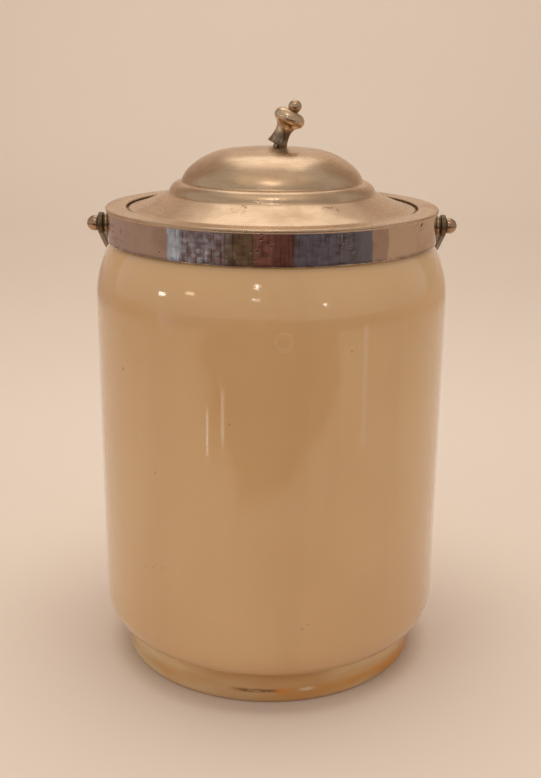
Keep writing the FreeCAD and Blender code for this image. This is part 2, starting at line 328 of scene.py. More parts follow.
# %% Sockets that can be added and multiplied
class Value:
    """A number or vector that varies over a surface."""

    def __init__(self, finish, socket):
        self.finish = finish
        self.socket = socket

    def maths(self, operation, *others):
        inputs = {i: other for i, other in enumerate((self, *others))}
        return self.finish.node("ShaderNodeMath", {"operation": operation}, inputs)

    def __add__(self, other):
        return self.maths("ADD", other)

    def __sub__(self, other):
        return self.maths("SUBTRACT", other)

    def __mul__(self, other):
        return self.maths("MULTIPLY", other)

    def __truediv__(self, other):
        return self.maths("DIVIDE", other)

    def between(self, low, high):
        """0 at low, 1 at high, with soft ends."""
        settings = {"interpolation_type": "SMOOTHSTEP"}
        inputs = {"Value": self, "From Min": low, "From Max": high}
        return self.finish.node("ShaderNodeMapRange", settings, inputs)

    def window(self, start, full, still_full, stop):
        """1 between the two middle numbers, 0 outside the outer two."""
        return self.between(start, full) * self.between(stop, still_full)


# %% [markdown]
# ## A finish in the making
#
# Each finish is one Principled BSDF. What is the same all over a piece is a
# number on the shader's own socket. What varies is linked in, and on the jar
# only to sockets that can be baked later: colour, roughness and the normal.
# One method adds any node, so the recipes below stay short.

# %% A finish
class Finish:
    """A material in the making."""

    def __init__(self, name, **constants):
        self.material = bpy.data.materials.new(name)
        self.material.use_nodes = True
        self.tree = self.material.node_tree
        self.shader = self.tree.nodes["Principled BSDF"]
        for key, value in constants.items():
            self.shader.inputs[key.replace("_", " ")].default_value = value

    def node(self, kind, settings=None, inputs=None, output=0):
        """Adds a node: settings first, then its sockets' values or links."""
        made = self.tree.nodes.new(kind)
        for key, value in (settings or {}).items():
            setattr(made, key, value)
        for key, value in (inputs or {}).items():
            if isinstance(value, Value):
                self.tree.links.new(value.socket, made.inputs[key])
            else:
                made.inputs[key].default_value = value
        return Value(self, made.outputs[output])

    def place(self):
        """Where a point of the piece is, in metres."""
        return self.node("ShaderNodeTexCoord", output="Object")

    def parts(self, vector):
        """The three numbers of a vector."""
        first = self.node("ShaderNodeSeparateXYZ", inputs={0: vector})
        return [Value(self, first.socket.node.outputs[i]) for i in range(3)]

    def vector(self, x, y, z):
        return self.node("ShaderNodeCombineXYZ", inputs={0: x, 1: y, 2: z})

    def noise(self, place, scale, detail=3.0, rough=0.5):
        inputs = {"Vector": place, "Scale": scale, "Detail": detail, "Roughness": rough}
        return self.node("ShaderNodeTexNoise", inputs=inputs)

    def cells(self, place, scale):
        """The distance to the nearest of many scattered points."""
        return self.node("ShaderNodeTexVoronoi", inputs={"Vector": place, "Scale": scale})

    def mix(self, share, first, second):
        """One colour going over into another."""
        settings = {"data_type": "RGBA"}
        made = self.node("ShaderNodeMix", settings, {"Factor": share}, output="Result")
        node = made.socket.node
        for index, tint in ((6, first), (7, second)):
            if isinstance(tint, Value):
                self.tree.links.new(tint.socket, node.inputs[index])
            else:
                node.inputs[index].default_value = tint
        return Value(self, node.outputs[2])

    def away(self, place, spot):
        """How far a place is from a spot, in metres."""
        settings = {"operation": "DISTANCE"}
        return self.node("ShaderNodeVectorMath", settings, {0: place, 1: spot}, output="Value")

    def feed(self, name, value):
        """Joins a varying value to one of the shader's sockets."""
        self.tree.links.new(value.socket, self.shader.inputs[name])

    def relief(self, height, depth, strength=1.0):
        """Raises the surface by a height of 0 to 1 times a depth in mm."""
        inputs = {"Height": height, "Distance": depth * MM, "Strength": strength}
        self.feed("Normal", self.node("ShaderNodeBump", inputs=inputs))


# %% Colours
def colour(red, green, blue):
    """A colour given as it looks on screen, 0 to 255, as Blender stores it."""
    def linear(c):
        c = c / 255
        return c / 12.92 if c <= 0.04045 else ((c + 0.055) / 1.055) ** 2.4
    return (linear(red), linear(green), linear(blue), 1.0)


print("mid grey on screen is stored as", round(colour(128, 128, 128)[0], 3))


# %% [markdown]
# ## The opal glass
#
# Opal glass is milky all through, so it needs no transparency: a cream
# colour with a little light passing under the surface, and a hard, glossy
# skin over it. Blown glass is never quite true, and its reflections waver
# from top to bottom, which a very shallow, tall noise gives. The shoulder
# has a fine ripple. Two small pits and a round blister under the shoulder
# are where the picture has them. Three more pits, one in front and two on
# the back, are made up, and finer specks fall at random.

# %% Marks in the glass
WALL_RADIUS = 63.8
WALL_PITS = ((-51.9, 119.2, 0.9), (-11.9, 107.3, 0.6), (24.0, 131.0, 0.5), (140.0, 96.0, 0.8),
             (-160.0, 60.0, 0.6))
BLISTER = (3.6, 135.0)


def on_wall(azimuth, height):
    """A place on the jar's wall. Azimuth 0 is the front, positive to the right."""
    turn = math.radians(azimuth)
    return (WALL_RADIUS * math.sin(turn) * MM, -WALL_RADIUS * math.cos(turn) * MM, height * MM)


def glass_marks(f, place):
    """The pits as dark dots, and the blister as a raised ring."""
    dots = None
    for azimuth, height, size in WALL_PITS:
        away = f.away(place, on_wall(azimuth, height))
        dot = away.between(size * MM, size * 0.4 * MM)
        dots = dot if dots is None else dots + dot
    away = f.away(place, on_wall(*BLISTER))
    return dots, away.between(3.6 * MM, 2.9 * MM) * away.between(1.4 * MM, 2.6 * MM)


print(len(WALL_PITS), "pits and one blister on the wall")


# %% Opal glass
RIPPLE_FROM = 134.0
RIPPLE_FULL = 144.0


def opal_glass():
    f = Finish("opal glass", IOR=1.5, Subsurface_Weight=0.25, Subsurface_Scale=0.004,
               Subsurface_Radius=(1.0, 0.62, 0.34), Coat_Weight=0.7, Coat_Roughness=0.06)
    place = f.place()
    x, y, z = f.parts(place)
    tall = f.vector(x, y, z * 0.12)
    cloud = f.noise(place, 14.0, 2.0)
    streak = f.noise(tall, 60.0, 3.0)
    base = f.mix(cloud.between(0.3, 0.7), colour(209, 170, 121), colour(203, 162, 114))
    base = f.mix(streak.between(0.45, 0.8) * 0.35, base, colour(194, 153, 107))
    specks = f.cells(place, 160.0)
    rare = f.noise(place, 37.0, 0.0)
    pits = specks.between(0.085, 0.05) * rare.between(0.64, 0.7)
    base = f.mix(pits * 0.4, base, colour(140, 104, 74))
    rough = f.noise(place, 55.0, 4.0).between(0.5, 0.8) * 0.05 + 0.06
    marks, blister_and_highlight = glass_marks(f, place)
    base = f.mix(marks * 0.55, base, colour(140, 104, 76))
    # The blister's ring is also tinted lighter: a painted highlight over its relief.
    base = f.mix(blister_and_highlight * 0.16, base, colour(220, 192, 152))
    wander = f.noise(tall, 30.0, 1.0)
    worked = z.between(RIPPLE_FROM * MM, RIPPLE_FULL * MM)
    ripple = f.noise(f.vector(x, y, z * 3.0), 170.0, 2.0) * worked
    f.feed("Base Color", base)
    f.feed("Roughness", rough + marks * 0.2)
    f.relief(wander * 0.9 + ripple * 0.08 + blister_and_highlight * 0.25 - pits * 0.15, 0.5)
    return f.material


OPAL_GLASS = opal_glass()
print("opal glass", len(OPAL_GLASS.node_tree.nodes), "nodes")


# %% [markdown]
# ## The amber glass
#
# The foot is clear glass the colour of honey. Glass like this gets its
# colour from its depth, but a plain tinted surface carries over to other
# programs, so the tint is in the base colour and some light passes through.
# Low in the front of the foot lies a dark line with an orange end and a light spot beside it.
# Whether it is a flaw or a reflection can't be told. All three are painted into the finish: the
# line is a painted reflection, and its orange end and the light spot are painted highlights. They
# are marks along one line round the foot, each between four angles. Orange glints low round the
# foot are painted highlights too, and a darker amber across its front is painted shade.

# %% Amber glass
# Heights of the line that carries the foot's painted reflection and painted highlights.
FOOT_REFLECTION_LINE = (4.1, 4.9, 5.4, 6.2)
# Each painted mark: its four angles, its share and its colour.
FOOT_PAINTED_REFLECTIONS = (
    ((-15.5, -9.0, 2.0, 6.0), 0.8, (120, 66, 20)),
    ((1.0, 4.0, 6.0, 10.0), 0.8, (246, 150, 62)),
    ((10.0, 14.0, 15.0, 19.0), 0.7, (255, 232, 196)),
)


def amber_glass():
    f = Finish("amber glass", IOR=1.5, Transmission_Weight=0.35)
    place = f.place()
    x, y, z = f.parts(place)
    ring = f.noise(f.vector(x, y, z * 5.0), 30.0, 2.0)
    base = f.mix(ring.between(0.35, 0.7), colour(248, 214, 164), colour(232, 186, 124))
    # Orange glints low round the foot: painted highlights in the colour.
    painted_glint = f.noise(f.vector(x, y, z * 3.0), 22.0, 3.0).between(0.46, 0.62)
    low = z.between(8.0 * MM, 3.0 * MM)
    base = f.mix(painted_glint * low, base, colour(240, 160, 66))
    azimuth = x.maths("ARCTAN2", y * -1.0) * math.degrees(1)
    # A darker amber across the front of the foot: painted shade.
    base = f.mix(azimuth.window(-38.0, -12.0, 12.0, 38.0) * 0.5, base, colour(206, 148, 84))
    uneven = f.noise(f.vector(azimuth * 0.25, z * 900.0, 0.0), 1.0, 2.0)
    # The line of the painted reflection and painted highlights, uneven along its length.
    line = z.window(*(height * MM for height in FOOT_REFLECTION_LINE)) * uneven.between(0.25, 0.55)
    for angles, share, tint in FOOT_PAINTED_REFLECTIONS:
        base = f.mix(line * azimuth.window(*angles) * share, base, colour(*tint))
    f.feed("Base Color", base)
    f.feed("Roughness", f.noise(place, 90.0, 2.0).between(0.4, 0.8) * 0.1 + 0.04)
    f.relief(f.noise(f.vector(x, y, z * 2.0), 60.0, 1.0), 0.4)
    return f.material


AMBER_GLASS = amber_glass()
print("amber glass", len(AMBER_GLASS.node_tree.nodes), "nodes,", len(FOOT_PAINTED_REFLECTIONS), "marks")


# %% [markdown]
# ## The metals
#
# Six finishes share one recipe, from the mirror of the collar to the dull brass. Each is metal
# with fine lines left by the polishing wheel, which run round the piece. The lines come from a
# noise that is stretched along the turn: its height is read finely and its angle coarsely. On top
# lie dark pits where the plating has gone, and a brown tarnish that gathers in broad patches.
# Between given heights, at the band's lower edge and under the knob, a patchy dark brown is grime
# with painted shade, and the flat pieces get a dark ring of painted shade where lid and rim meet.

# %% The metal recipe
# The brown of the pits, where the plating has gone; it also serves for painted shade.
PIT_AND_SHADE_BROWN = colour(74, 52, 38)
LID_GAP_SHADE_RING = (50.7, 51.3, 52.2, 52.8)


def plated_metal(name, bright, dull, rough, lines, pitting, flat=False, worn=(), hollow=None):
    """Turned and polished metal. flat metal has its lines round the axis on its top, so they are
    read by radius instead of by height, and gets a dark ring of painted shade where lid and rim
    meet. worn lists the places, in mm and with a reach, where the plating has pitted most, and
    hollow the heights between which grime is laid together with painted shade."""
    f = Finish(name, Metallic=1.0, IOR=1.5)
    place = f.place()
    x, y, z = f.parts(place)
    radius = (x * x + y * y).maths("SQRT")
    turn = y.maths("ARCTAN2", x)
    across = radius if flat else z
    grain = f.vector(across, turn * 0.004, 0.0)
    brushed = f.noise(grain, 4200.0, 3.0, 0.6)
    wide = f.noise(grain, 900.0, 2.0)
    patch = f.noise(place, 42.0, 4.0, 0.6)
    fine = f.noise(place, 210.0, 4.0, 0.65)
    tarnish = patch.between(0.46, 0.72)
    specks = f.cells(place, 620.0)
    rare = f.noise(place, 70.0, 2.0)
    pits = specks.between(0.26, 0.12) * rare.between(0.62 - 0.1 * pitting, 0.72) * pitting
    for spot, reach in worn:
        away = f.away(place, tuple(c * MM for c in spot))
        near = away.between(reach * MM, reach * 0.2 * MM)
        pits = pits + near * specks.between(0.5, 0.25) * fine.between(0.42, 0.6) * pitting
    base = f.mix(tarnish * 0.6, bright, dull)
    base = f.mix(fine.between(0.5, 0.8) * 0.3, base, dull)
    base = f.mix(wide.between(0.35, 0.75) * lines * 0.4, base, dull)
    base = f.mix(pits.between(0.0, 0.5) * 0.8, base, PIT_AND_SHADE_BROWN)
    # Flat pieces get a dark ring where lid and rim meet: painted shade.
    if flat:
        gap_shade = radius.window(*(r * MM for r in LID_GAP_SHADE_RING))
        base = f.mix(gap_shade * 0.45, base, PIT_AND_SHADE_BROWN)
    # Between the given heights a patchy dark brown is laid: grime with painted shade.
    if hollow:
        low, high = hollow
        edges = (low - 1, low + 1, high - 1, high + 1)
        grime_and_shade = z.window(*(height * MM for height in edges))
        base = f.mix(grime_and_shade * fine.between(0.3, 0.55) * 0.8, base, PIT_AND_SHADE_BROWN)
    f.feed("Base Color", base)
    f.feed("Roughness", (brushed * lines + tarnish * 0.5 + pits + 1.0) * rough)
    f.relief(brushed * lines * 0.1 + wide * lines * 0.3 - pits, 0.05)
    print(name, len(f.tree.nodes), "nodes")
    return f.material


# %% Metal finishes
COLLAR_WEAR = (((-55.0, -21.0, 161.0), 9.0), ((-56.5, -16.0, 160.0), 6.0),
               ((50.0, -31.5, 166.5), 3.0))
LID_WEAR = (((19.5, -35.5, 173.0), 5.0), ((-10.0, -38.7, 173.0), 5.0))
# Heights of the band's lower edge and of the knob's underside, which take grime with painted
# shade.
BAND_EDGE_SHADE = (157.0, 158.6)
UNDER_KNOB_SHADE = (190.0, 196.0)

COLLAR_PLATE = plated_metal(
    "collar plate", colour(206, 192, 178), colour(170, 146, 128), rough=0.03, lines=0.1,
    pitting=1.0, worn=COLLAR_WEAR, hollow=BAND_EDGE_SHADE)
LID_PLATE = plated_metal(
    "lid plate", colour(214, 184, 152), colour(178, 144, 114), rough=0.21, lines=0.6, pitting=0.4,
    flat=True, worn=LID_WEAR)
CAST_METAL = plated_metal(
    "cast fittings", colour(228, 202, 170), colour(158, 120, 86), rough=0.18, lines=0.1,
    pitting=0.4, hollow=UNDER_KNOB_SHADE)
PIN_METAL = plated_metal(
    "pin metal", colour(182, 150, 122), colour(104, 76, 54), rough=0.2, lines=0.1, pitting=0.6)
# The handle strap is given darker colours than the collar and knob: painted shade, as it stands at
# the back.
SHADED_STRAP_METAL = plated_metal(
    "handle strap in shade", colour(120, 102, 80), colour(74, 56, 40), rough=0.32, lines=0.2, pitting=0.6)
BRASS = plated_metal(
    "inner brass", colour(120, 98, 70), colour(84, 62, 38), rough=0.4, lines=0.3, pitting=0.4)


# %% [markdown]
# ## The plaster
#
# A collar of this kind is set on the glass in plaster. Only a thin line of
# it shows, under the band's lower edge.

# %% Plaster
def plaster_finish():
    f = Finish("setting plaster")
    place = f.place()
    base = f.mix(f.noise(place, 300.0, 4.0), colour(150, 126, 98), colour(104, 80, 58))
    f.feed("Base Color", base)
    f.feed("Roughness", f.noise(place, 500.0) * 0.1 + 0.85)
    f.relief(f.noise(place, 900.0), 0.1)
    return f.material


PLASTER = plaster_finish()
print("plaster", len(PLASTER.node_tree.nodes), "nodes")

# %% [markdown]
# ## The jar body
#
# One outline goes from the middle of the underside, up the outer wall, over
# the lip and down inside to the middle of the floor. The shoulder is an arc
# that leaves the wall without a break, which is what makes its highlight
# bend smoothly.

# %% Jar body
BASE_CORNER = 13.3
WALL_TOP = 138.0
DRAFT = 0.1
SHOULDER_INSET = 5.8
NECK_INSET = 1.4
WALL = 3.8
WALL_ROWS = 12
FLOOR = 5.0
LIP = 1.5
ROUND_STEPS = 192

jar_low, jar_high = span("jar_body")
band_low, band_high = span("collar_band")
jar_radius = jar_high.x


def glass_side(offset, bottom, corner):
    """The wall's outline from the flat base up to the neck's foot."""
    low = jar_radius - DRAFT - offset
    high = jar_radius - offset
    points = [(0.0, bottom), (low - corner, bottom)]
    points += arc_to(points[-1], (1, 0), (low, bottom + corner), 18)[0]
    rise = WALL_TOP - bottom - corner
    points += [(low + (high - low) * i / WALL_ROWS, bottom + corner + rise * i / WALL_ROWS)
               for i in range(1, WALL_ROWS + 1)]
    shoulder, heading = arc_to(points[-1], (0, 1), (high - SHOULDER_INSET, band_low.z), 20)
    neck = high - SHOULDER_INSET - NECK_INSET
    foot = band_low.z + NECK_INSET * abs(heading[1] / heading[0])
    return points + shoulder + [(neck, foot)]


def jar_outline():
    outside = glass_side(0.0, jar_low.z, BASE_CORNER)
    inside = glass_side(WALL, jar_low.z + FLOOR, BASE_CORNER - WALL)
    neck = outside[-1][0]
    lip = rounded([(neck, outside[-1][1], 0), (neck, jar_high.z, LIP),
                   (neck - WALL, jar_high.z, LIP), (neck - WALL, inside[-1][1], 0)], closed=False)
    return outside[:-1] + lip + inside[:-1][::-1]


piece("jar_glass", turned_mesh("jar_glass", jar_outline(), OPAL_GLASS, ROUND_STEPS),
      "jar", "opal_glass", "jar_body")


# %% [markdown]
# ## The foot
#
# The foot is a ring. Its top follows the round corner of the body above it,
# and its ground edge is well rounded, so it gathers light along its rim.

# %% Foot
FOOT_WIDTH = 9.0
FOOT_EDGE = 1.8
FOOT_CLEARANCE = 0.03

foot_low, foot_high = span("foot_rim")
foot_outer = foot_high.x
foot_inner = foot_outer - FOOT_WIDTH


def corner_height(radius):
    """The height of the body's round lower corner at a radius."""
    centre = jar_radius - DRAFT - BASE_CORNER
    if radius <= centre:
        return jar_low.z
    return jar_low.z + BASE_CORNER - math.sqrt(BASE_CORNER ** 2 - (radius - centre) ** 2)


def foot_outline():
    steps = 16
    top = [(foot_outer + (foot_inner - foot_outer) * i / steps) for i in range(steps + 1)]
    top = [(r, corner_height(r) - FOOT_CLEARANCE) for r in top]
    side = rounded([(*top[-1], 0), (foot_inner, 0, FOOT_EDGE / 2), (foot_outer, 0, FOOT_EDGE),
                    (*top[0], 0)], closed=False, pieces=8)
    return top + side[1:]


piece("foot_glass", turned_mesh("foot_glass", foot_outline(), AMBER_GLASS, ROUND_STEPS),
      "jar", "amber_glass", "foot_rim")

# %% [markdown]
# ## The collar
#
# The band is a strip bent into a ring, and its edges are only broken. The
# rim above it is spun: rolled over at the outside, stepped down inside for
# the lid to sit in, and carried down as a flange into the mouth.

# %% Collar
BAND = 1.0
RIM_ROUND = 0.9
MOUTH_IN = 7.3
SEAT_DEPTH = 1.6
SEAT_WIDTH = 2.4
FLANGE_DEPTH = 8.0
FLANGE = 0.8

rim_low, rim_high = span("collar_rim")
band_outer = band_high.x
rim_outer = rim_high.x
mouth = rim_outer - MOUTH_IN
seat = rim_high.z - SEAT_DEPTH
flange_inner = mouth - SEAT_WIDTH

band_outline = rounded([
    (band_outer, band_low.z, 0.25), (band_outer, band_high.z, 0.1),
    (band_outer - BAND, band_high.z, 0.1), (band_outer - BAND, band_low.z, 0.3)])
piece("collar_band_skin", turned_mesh("collar_band_skin", band_outline, COLLAR_PLATE, ROUND_STEPS),
      "jar", "collar_plate", "collar_band")

rim_outline = rounded([
    (rim_outer, band_high.z, 0.25), (rim_outer, rim_high.z, RIM_ROUND), (mouth, rim_high.z, 0.35),
    (mouth, seat, 0.15), (flange_inner, seat, 0.2), (flange_inner, seat - FLANGE_DEPTH, 0.3),
    (flange_inner + FLANGE, seat - FLANGE_DEPTH, 0.3), (flange_inner + FLANGE, seat - FLANGE, 0.2),
    (mouth + FLANGE, seat - FLANGE, 0.2), (mouth + FLANGE, band_high.z, 0.2)])
piece("collar_rim_skin", turned_mesh("collar_rim_skin", rim_outline, LID_PLATE, ROUND_STEPS),
      "jar", "lid_plate", "collar_rim")

# %% [markdown]
# ## The lid
#
# The lid's upper surface is five arcs: three for the dome, each of which
# carries on from the one before, then the bead and the hollow brim. The
# under side is the same line moved in by the sheet's thickness, so the
# outline runs out along the top and back underneath.

# %% Lid
LID_SHEET = 1.0
LID_FLAT = 1.2
BRIM_WIDTH = 13.1
BRIM_RISE = 5.5
BRIM_SAG = 2.0
BEAD_WIDTH = 4.4
BEAD_RISE = 3.7
DOME_FOOT = (3.0, 4.7)
DOME_SIDE = (13.6, 6.3)
CROWN_RISE = 1.0
SCREW_RADIUS = 1.1

lid_low, lid_high = span("lid_shell")
lid_radius = lid_high.x
brim_foot = seat + LID_SHEET


def lid_top():
    """The upper surface from the crown to the edge."""
    brim_edge = lid_radius - LID_FLAT
    bead_edge = brim_edge - BRIM_WIDTH
    groove = (bead_edge - BEAD_WIDTH, brim_foot + BRIM_RISE + BEAD_RISE)
    side = (groove[0] - DOME_FOOT[0], groove[1] + DOME_FOOT[1])
    crown = (side[0] - DOME_SIDE[0], side[1] + DOME_SIDE[1])
    hole = (0.0, lid_high.z)
    top, heading = arc_to(hole, (1, 0), crown, 12)
    upper, heading = arc_to(crown, heading, side, 12)
    lower, _ = arc_to(side, heading, groove, 10)
    bead, _ = arc_to(groove, (1, 0), (bead_edge, brim_foot + BRIM_RISE), 12)
    slope = math.atan2(-BRIM_RISE, BRIM_WIDTH) - math.radians(BRIM_SAG)
    brim, _ = arc_to((bead_edge, brim_foot + BRIM_RISE), (math.cos(slope), math.sin(slope)),
                     (brim_edge, brim_foot), 12)
    return [hole] + top + upper + lower + bead + brim + [(lid_radius - 0.3, brim_foot)]


def moved_in(points, depth):
    """A line moved by depth to its right-hand side, corner by corner."""
    result = []
    for i, here in enumerate(points):
        before = Vector(points[max(i - 1, 0)])
        after = Vector(points[min(i + 1, len(points) - 1)])
        way = (after - before).normalized()
        result.append((max(here[0] + way.y * depth, 0.0), here[1] - way.x * depth))
    return result


def lid_outline():
    top = lid_top()
    bottom = moved_in(top, LID_SHEET)
    edge = rounded([(*top[-1], 0), (lid_radius, brim_foot, 0.35), (lid_radius, seat, 0.25),
                    (lid_radius - 0.3, seat, 0)], closed=False)
    return top + edge[1:-1] + bottom[::-1]


piece("lid_skin", turned_mesh("lid_skin", lid_outline(), LID_PLATE, ROUND_STEPS),
      "lid", "lid_plate", "lid_shell")

# %% [markdown]
# ## The knob
#
# The knob is a small casting, hollow from below, that was turned on its own
# axis. Its screw was straight too, and has been bent since, so both are made
# straight and then leaned. Bending is a move of points: below the bend they
# stay, in the bend each height becomes an angle, and above it they run on
# along the leaning line.

# %% Knob and its screw
LEAN = 25.4
OFFSET = 0.8
BEND_BELOW = 0.8
BEND_RADIUS = 2.0
SKIRT = 3.75
SKIRT_WALL = 0.6
HOLLOW = 5.0
WAIST = (0.9, 4.9)
FLANK = (1.75, 3.1)
BULB = (0.95, 2.6)
CAP = (3.6, 2.05)
SINK = 0.72
KNOB_PLAY = 0.05
BALL_RISE = 1.65
BALL = 2.35

lean = math.radians(LEAN)
crown_height = brim_foot + BRIM_RISE + BEAD_RISE + DOME_FOOT[1] + DOME_SIDE[1] + CROWN_RISE
bend_height = crown_height - BEND_BELOW
knob_height = WAIST[1] + FLANK[1] + BULB[1] + CAP[1]
knob_start = (BEND_BELOW - SINK + SKIRT * math.sin(lean)) / math.cos(lean)


def knob_outline():
    waist = (SKIRT - WAIST[0], WAIST[1])
    flank = (waist[0] + FLANK[0], waist[1] + FLANK[1])
    bulb = (flank[0] + BULB[0], flank[1] + BULB[1])
    cap = (bulb[0] - CAP[0], knob_height)
    skirt, _ = arc_to(waist, (0, -1), (SKIRT, 0.15), 8)
    neck, heading = arc_to(waist, (0, 1), flank, 8)
    side, heading = arc_to(flank, heading, bulb, 8)
    top, _ = arc_to(bulb, heading, cap, 10)
    hole = SCREW_RADIUS + KNOB_PLAY
    inside = [(hole, knob_height), (hole, HOLLOW), (SKIRT - SKIRT_WALL, 0.0), (SKIRT - 0.12, 0.0)]
    outline = skirt[::-1] + [waist] + neck + side + top + inside
    return outline + [outline[0]]


def leaned(mesh, start):
    """Leans a mesh and sets its foot a distance up the leaning line."""
    foot = Vector((OFFSET + math.sin(lean) * start, 0, bend_height + math.cos(lean) * start)) * MM
    mesh.transform(Matrix.Translation(foot) @ Matrix.Rotation(lean, 4, "Y"))
    return mesh


def screw_outline():
    """A straight screw with a ball head, as it was before it was bent."""
    low = span("finial_screw")[0].z
    neck = bend_height + knob_start + knob_height
    ball = neck + BALL_RISE
    start = math.acos(BALL_RISE / BALL)
    dome = [(BALL * math.sin(a), ball - BALL * math.cos(a))
            for a in (start + (math.pi - start) * i / 20 for i in range(21))]
    shank = [(SCREW_RADIUS, low + (neck - low) * i / 40) for i in range(1, 41)]
    return [(0, low), (SCREW_RADIUS - 0.2, low)] + shank + dome[:-1] + [(0, ball + BALL)]


def bent(mesh):
    """Bends a straight upright mesh over to the right, and moves it over
    the hole in the lid."""
    straight = bend_height - BEND_RADIUS * math.tan(lean / 2)
    for vertex in mesh.vertices:
        x, y, z = vertex.co / MM
        past = max(z - straight, 0.0)
        turn = min(past / BEND_RADIUS, lean)
        rest = past - turn * BEND_RADIUS
        run = BEND_RADIUS * (1 - math.cos(turn)) + rest * math.sin(turn) + x * math.cos(turn)
        rise = BEND_RADIUS * math.sin(turn) + rest * math.cos(turn) - x * math.sin(turn)
        vertex.co = Vector((OFFSET + run, y, min(z, straight) + rise)) * MM
    return mesh


piece("knob", leaned(turned_mesh("knob", knob_outline(), CAST_METAL, 64), knob_start),
      "lid", "cast_fittings", "finial_body")
piece("knob_screw", bent(turned_mesh("knob_screw", screw_outline(), CAST_METAL, 40)),
      "lid", "cast_fittings", "finial_screw")

# %% [markdown]
# ## The pivots
#
# On each side a round pad is soldered to the band, and a pin with a ball
# head goes through the handle's eye into it. Both are turned about a level
# axis, so each is turned upright and laid over. The pad sinks a little into
# the round band, so that its whole edge meets it.

# %% Pads and pins
PAD_HEIGHT = 1.1
PAD_RADIUS = 3.6
PAD_SINK = 0.3
PIN = 1.4
HEAD = 2.8
HEAD_FLAT = 1.2


def laid_over(mesh, side):
    """Lays a mesh that was turned upright out along X at the pivot's height."""
    pin_low, pin_high = span("pivot_screw_left")
    height = (pin_low.z + pin_high.z) / 2
    turn = Matrix.Rotation(math.radians(90 * side), 4, "Y")
    mesh.transform(Matrix.Translation((0, 0, height * MM)) @ turn)
    return mesh


def pin_outline():
    low, high = span("pivot_screw_right")
    ball = high.x - HEAD
    start = math.acos(HEAD_FLAT / HEAD)
    dome = [(HEAD * math.sin(a), ball - HEAD * math.cos(a))
            for a in (start + (math.pi - start) * i / 18 for i in range(19))]
    return [(0, low.x), (PIN, low.x), (PIN, ball - HEAD_FLAT)] + dome[:-1] + [(0, ball + HEAD)]


def pad_outline():
    return rounded([(PIN, band_outer - PAD_SINK, 0), (PAD_RADIUS, band_outer - PAD_SINK, 0),
                    (PAD_RADIUS, band_outer + PAD_HEIGHT, 0.3), (PIN, band_outer + PAD_HEIGHT, 0)])


for word, side in (("left", -1), ("right", 1)):
    pin = turned_mesh("pin_" + word, pin_outline(), PIN_METAL, 48)
    piece("pin_" + word, laid_over(pin, side), "jar", "cast_fittings", "pivot_screw_" + word)
    pad = turned_mesh("pad_" + word, pad_outline(), PIN_METAL, 48)
    piece("pad_" + word, laid_over(pad, side), "jar", "cast_fittings", "boss_" + word)

# %% [markdown]
# ## What stays as the CAD made it
#
# The strap handle, its washers, the plaster and the pieces inside the lid
# already have the right shape. They only need a finish, which goes into
# their material slots.

# %% Finishes on CAD pieces
CAD_FINISHES = {
    "plaster_bed": PLASTER, "bail_handle": SHADED_STRAP_METAL, "lid_bezel": BRASS, "finial_washer": BRASS,
    "finial_nut": BRASS, "washer_left": BRASS, "washer_right": BRASS}

for node, finish in CAD_FINISHES.items():
    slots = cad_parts[node].data.materials
    slots.clear()
    slots.append(finish)
print("finished", ", ".join(CAD_FINISHES))

# %% [markdown]
# ## The paper sweep
#
# The floor sweeps up into the backdrop with no line between, as a roll of
# paper does in a small studio. It could be a floor and a wall, but then a
# hard line would cross the picture behind the jar. It is one strip of faces
# that follows a straight line, an arc and another straight line.

# %% Floor and backdrop
SWEEP_WIDTH = 6.0
SWEEP_FRONT = -2.5
SWEEP_BACK = 1.1
SWEEP_RADIUS = 0.7
SWEEP_TOP = 3.2


def make_sweep():
    section = [(SWEEP_FRONT, 0.0), (SWEEP_BACK, 0.0)]
    section += arc_to((SWEEP_BACK, 0.0), (1, 0), (SWEEP_BACK + SWEEP_RADIUS, SWEEP_RADIUS), 16)[0]
    section.append((SWEEP_BACK + SWEEP_RADIUS, SWEEP_TOP))
    points = [(side * SWEEP_WIDTH / 2, y, z) for y, z in section for side in (-1, 1)]
    faces = [(2 * i, 2 * i + 1, 2 * i + 3, 2 * i + 2) for i in range(len(section) - 1)]
    mesh = bpy.data.meshes.new("sweep")
    mesh.from_pydata(points, [], faces)
    mesh.shade_smooth()
    sweep = bpy.data.objects.new("sweep", mesh)
    scene.collection.objects.link(sweep)
    f = Finish("backdrop paper", Roughness=0.9, Specular_IOR_Level=0.1)
    place = f.place()
    soft = f.mix(f.noise(place, 3.0, 1.0), colour(224, 206, 188), colour(220, 201, 183))
    f.feed("Base Color", soft)
    mesh.materials.append(f.material)


make_sweep()
print("sweep", SWEEP_WIDTH, "m wide")


# %% [markdown]
# ## What the jar reflects
#
# Polished metal and glass show their surroundings more than themselves, and in an empty studio
# they look dead. Whole furniture could be built in front of the jar, but glowing cards that only
# reflections see give the same at once, and their light never falls on the floor. They aren't part
# of the jar.

# %% Glowing cards
def glow_finish(name, strength):
    """A finish that only glows."""
    return Finish(name, Roughness=1.0, Specular_IOR_Level=0.0, Emission_Strength=strength,
                  Base_Color=(0, 0, 0, 1))


def glow(name, tint, strength):
    """A plain glowing finish."""
    f = glow_finish(name, strength)
    f.shader.inputs["Emission Color"].default_value = tint
    return f.material


def reflected_only(made):
    """Adds an object that only reflections see."""
    made.visible_camera = False
    made.visible_diffuse = False
    made.visible_shadow = False
    made.visible_transmission = False
    scene.collection.objects.link(made)


CARD_TARGET = (0, 0, 0.17)


